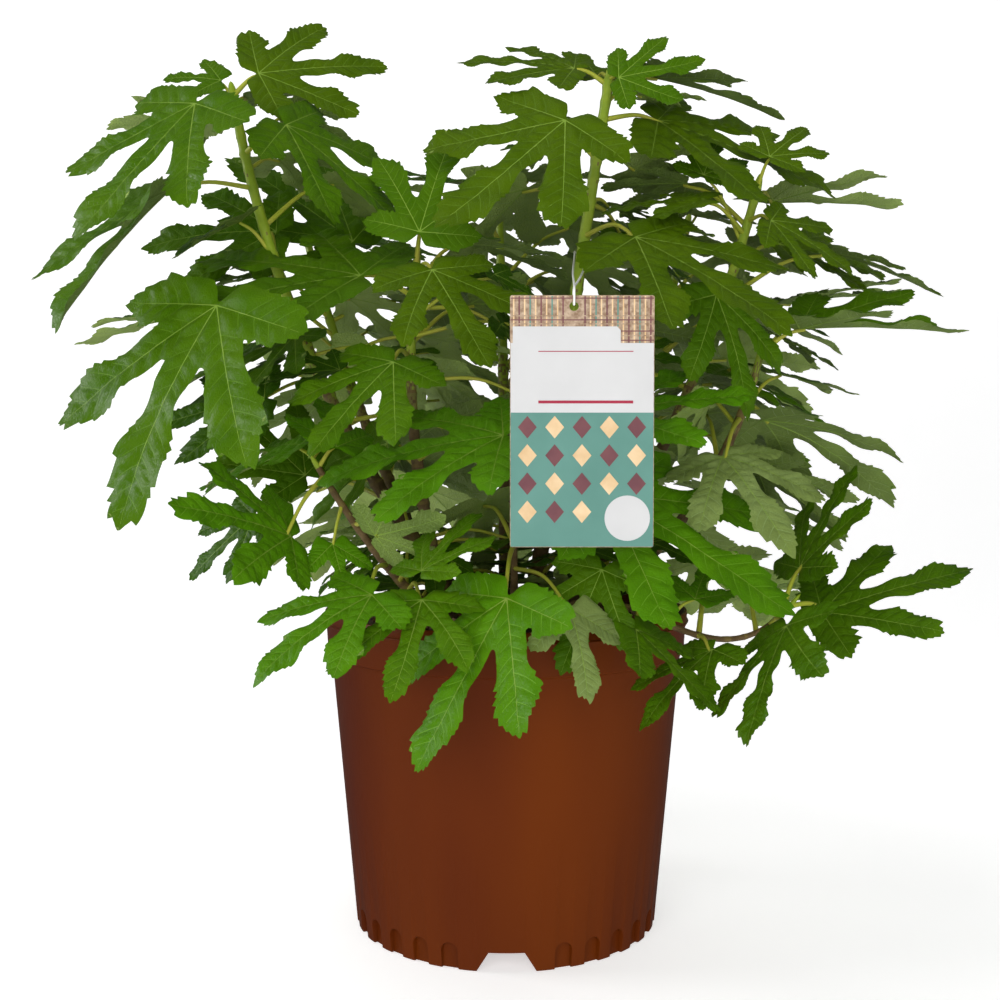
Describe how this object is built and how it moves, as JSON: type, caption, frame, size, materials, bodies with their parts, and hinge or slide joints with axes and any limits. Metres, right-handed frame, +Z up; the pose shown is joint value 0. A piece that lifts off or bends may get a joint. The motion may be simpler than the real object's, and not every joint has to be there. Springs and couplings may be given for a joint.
{
  "type": "potted fig tree",
  "caption": "Bushy young fig plant with large lobed leaves on upright and spreading canes, in a round fluted nursery pot with potting mix and a bare hang tag.",
  "frame": {"origin": "middle of the pot's flat underside", "axes": "+Z up, -Y towards the viewer of the picture, +X to the viewer's right"},
  "size_m": [0.5968, 0.4703, 0.6109],
  "materials": {
    "pot_plastic": "satin",
    "potting_mix": "matte",
    "bark": "matte",
    "leaf": "satin",
    "tag_card": "satin",
    "loop_plastic": "satin"
  },
  "bodies": {
    "root": {"pot": "pot_plastic", "soil": "potting_mix", "cane_left_tall": "bark", "cane_middle_front": "bark", "cane_middle_tall": "bark", "cane_right_tall": "bark", "cane_right_outer": "bark", "cane_low_right": "bark", "cane_low_left": "bark", "cane_low_front": "bark", "cane_back_left": "bark", "cane_back_middle": "bark", "cane_back_right": "bark", "foliage_left_tall": "leaf", "foliage_middle_front": "leaf", "foliage_middle_tall": "leaf", "foliage_right_tall": "leaf", "foliage_right_outer": "leaf", "foliage_low_right": "leaf", "foliage_low_left": "leaf", "foliage_low_front": "leaf", "foliage_back_left": "leaf", "foliage_back_middle": "leaf", "foliage_back_right": "leaf", "hang_tag": "tag_card", "tag_loop": "loop_plastic"}
  },
  "joints": []
}
